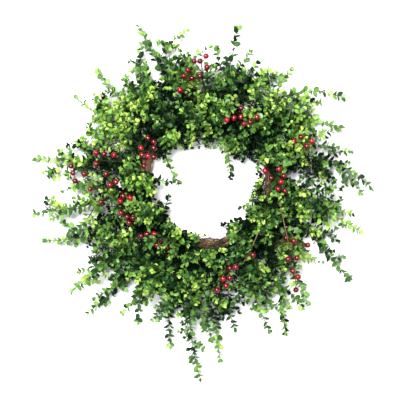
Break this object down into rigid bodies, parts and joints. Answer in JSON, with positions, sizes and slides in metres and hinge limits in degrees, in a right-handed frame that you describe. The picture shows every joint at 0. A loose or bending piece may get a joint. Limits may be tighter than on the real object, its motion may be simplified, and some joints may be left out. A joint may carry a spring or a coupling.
{
  "type": "eucalyptus wreath",
  "caption": "Round wreath of twisted grapevine with leafy eucalyptus sprays and sprigs of round red berries, open in the middle.",
  "frame": {"origin": "on the table, under the middle of the wreath's bounding box, with the wreath lying on its back", "axes": "+Z out of the wreath's front, +Y to its top as pictured, +X to the viewer's right"},
  "size_m": [0.6362, 0.6572, 0.0897],
  "materials": {
    "vine_bark": "rough bark",
    "eucalyptus_leaf": "satin leaf, deep green to yellow-green",
    "berry_red": "glossy lacquered red"
  },
  "bodies": {
    "root": {"thick_vine_1": "vine_bark", "thin_vine_1": "vine_bark", "thick_vine_2": "vine_bark", "thin_vine_2": "vine_bark", "berry_pick_1": "berry_red", "berry_pick_2": "berry_red", "berry_pick_3": "berry_red", "berry_pick_4": "berry_red", "berry_pick_5": "berry_red", "berry_pick_6": "berry_red", "berry_pick_7": "berry_red", "berry_pick_8": "berry_red", "berry_pick_9": "berry_red", "berry_pick_10": "berry_red", "berry_pick_11": "berry_red", "berry_pick_12": "berry_red", "inner_spray_1": "eucalyptus_leaf", "inner_spray_2": "eucalyptus_leaf", "inner_spray_3": "eucalyptus_leaf", "inner_spray_4": "eucalyptus_leaf", "inner_spray_5": "eucalyptus_leaf", "inner_spray_6": "eucalyptus_leaf", "inner_spray_7": "eucalyptus_leaf", "front_spray_1": "eucalyptus_leaf", "front_spray_2": "eucalyptus_leaf", "front_spray_3": "eucalyptus_leaf", "front_spray_4": "eucalyptus_leaf", "front_spray_5": "eucalyptus_leaf", "front_spray_6": "eucalyptus_leaf", "front_spray_7": "eucalyptus_leaf", "front_spray_8": "eucalyptus_leaf", "front_spray_9": "eucalyptus_leaf", "front_spray_10": "eucalyptus_leaf", "front_spray_11": "eucalyptus_leaf", "front_spray_12": "eucalyptus_leaf", "outer_spray_1": "eucalyptus_leaf", "outer_spray_2": "eucalyptus_leaf", "outer_spray_3": "eucalyptus_leaf", "outer_spray_4": "eucalyptus_leaf", "outer_spray_5": "eucalyptus_leaf", "outer_spray_6": "eucalyptus_leaf", "outer_spray_7": "eucalyptus_leaf", "outer_spray_8": "eucalyptus_leaf", "outer_spray_9": "eucalyptus_leaf", "outer_spray_10": "eucalyptus_leaf", "outer_spray_11": "eucalyptus_leaf", "outer_spray_12": "eucalyptus_leaf", "outer_spray_13": "eucalyptus_leaf", "outer_spray_14": "eucalyptus_leaf", "outer_spray_15": "eucalyptus_leaf", "outer_spray_16": "eucalyptus_leaf", "outer_spray_17": "eucalyptus_leaf", "outer_spray_18": "eucalyptus_leaf", "outer_spray_19": "eucalyptus_leaf", "outer_spray_20": "eucalyptus_leaf", "outer_spray_21": "eucalyptus_leaf", "outer_spray_22": "eucalyptus_leaf", "outer_spray_23": "eucalyptus_leaf", "outer_spray_24": "eucalyptus_leaf", "outer_spray_25": "eucalyptus_leaf"}
  },
  "joints": []
}
